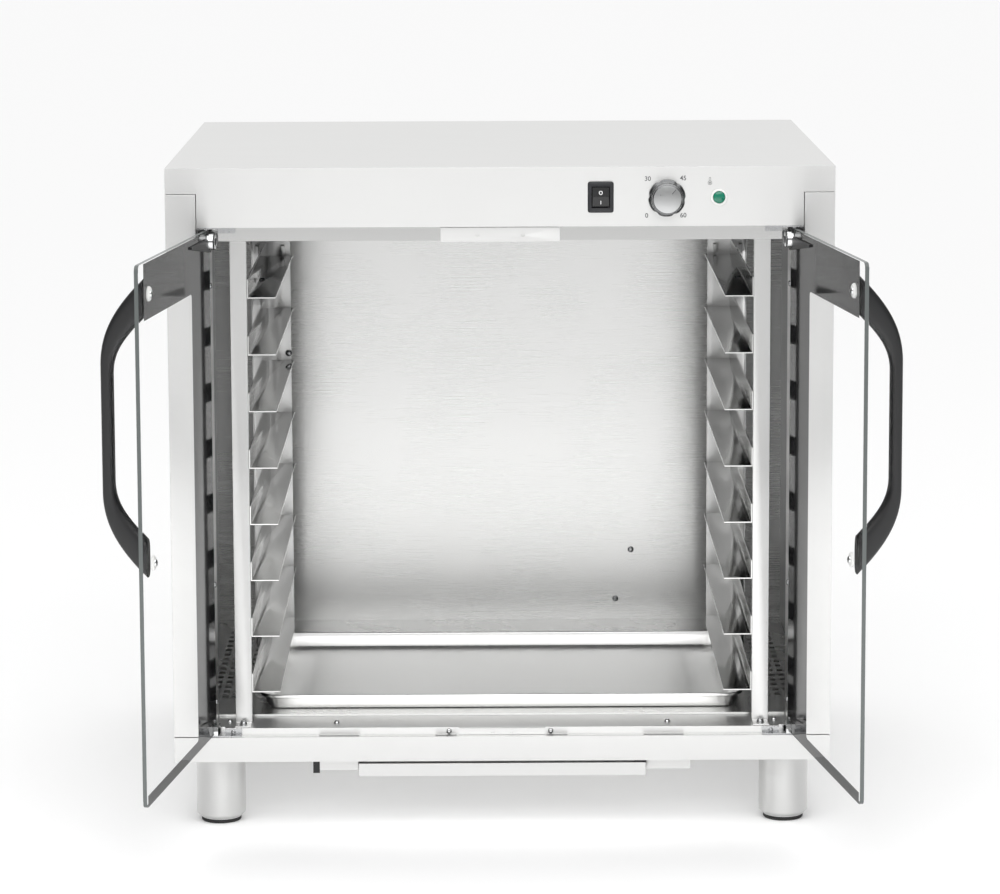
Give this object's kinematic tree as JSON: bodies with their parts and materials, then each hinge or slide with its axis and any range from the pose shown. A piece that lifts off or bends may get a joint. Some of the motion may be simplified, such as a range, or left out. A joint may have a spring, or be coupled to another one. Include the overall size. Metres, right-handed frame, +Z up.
{
  "type": "proofing cabinet",
  "caption": "Bench proofing cabinet with frameless glass doors, bow handles, tray runners on both sides, a floor pan, a drip tray, round feet and a control fascia.",
  "frame": {"origin": "middle of the bottom of the whole with both doors open, on the surface that the feet stand on", "axes": "+X to the right of someone who faces the doors, +Y from the doors to the rear panel, +Z up"},
  "size_m": [0.901, 1.0214, 0.81],
  "materials": {
    "brushed": "fine brushed",
    "inside": "bright annealed",
    "polished": "polished",
    "glass": "clear toughened",
    "black": "satin moulded",
    "knob": "silver coated",
    "lamp": "clear green",
    "element": "heat darkened"
  },
  "bodies": {
    "cabinet": {"base_tray": "brushed", "bottom_catch": "polished", "cable_gland": "black", "chamber_ceiling": "inside", "door_sill": "brushed", "drip_tray_rail": "brushed", "floor_plate": "inside", "heating_element": "element", "indicator_lamp": "lamp", "inner_back_wall": "inside", "left_bottom_pivot": "polished", "left_front_foot": "brushed", "left_front_upright": "brushed", "left_inner_wall": "inside", "left_rear_foot": "brushed", "left_rear_upright": "inside", "left_runner_1": "inside", "left_runner_2": "inside", "left_runner_3": "inside", "left_runner_4": "inside", "left_runner_5": "inside", "left_runner_6": "inside", "left_runner_7": "inside", "left_runner_8": "inside", "left_side_panel": "brushed", "left_top_pivot": "polished", "rear_panel": "brushed", "right_bottom_pivot": "polished", "right_front_foot": "brushed", "right_front_upright": "brushed", "right_inner_wall": "inside", "right_rear_foot": "brushed", "right_rear_upright": "inside", "right_runner_1": "inside", "right_runner_2": "inside", "right_runner_3": "inside", "right_runner_4": "inside", "right_runner_5": "inside", "right_runner_6": "inside", "right_runner_7": "inside", "right_runner_8": "inside", "right_side_panel": "brushed", "right_top_pivot": "polished", "switch_bezel": "black", "thermostat": "element", "top_catch": "polished", "top_cover": "brushed"},
    "left_door": {"left_bottom_clamp": "polished", "left_door_glass": "glass", "left_door_handle": "black", "left_top_clamp": "black"},
    "right_door": {"right_bottom_clamp": "polished", "right_door_glass": "glass", "right_door_handle": "black", "right_top_clamp": "black"},
    "pan": {"floor_pan": "polished"},
    "drip_tray_body": {"drip_tray": "brushed"},
    "rocker": {"switch_rocker": "black"},
    "knob": {"thermostat_knob": "knob"}
  },
  "joints": [
    {"name": "left_door_hinge", "type": "hinge", "parent": "cabinet", "child": "left_door", "pos_m": [-0.352, -0.16478, 0.424], "axis": [0, 0, 1], "range_deg": [-16, 98.6]},
    {"name": "right_door_hinge", "type": "hinge", "parent": "cabinet", "child": "right_door", "pos_m": [0.352, -0.16478, 0.424], "axis": [0, 0, -1], "range_deg": [-16, 98.6]},
    {"name": "pan_slide", "type": "slide", "parent": "cabinet", "child": "pan", "axis": [0, 1, 0], "range_m": [-0.45, 0]},
    {"name": "drip_tray_slide", "type": "slide", "parent": "cabinet", "child": "drip_tray_body", "axis": [0, 1, 0], "range_m": [-0.075, 0]},
    {"name": "switch_tilt", "type": "hinge", "parent": "cabinet", "child": "rocker", "pos_m": [0.12, -0.16928, 0.7737], "axis": [1, 0, 0], "range_deg": [0, 12]},
    {"name": "dial_turn", "type": "hinge", "parent": "cabinet", "child": "knob", "pos_m": [0.199, -0.16928, 0.7723], "axis": [0, -1, 0], "range_deg": [-90, 180]}
  ]
}
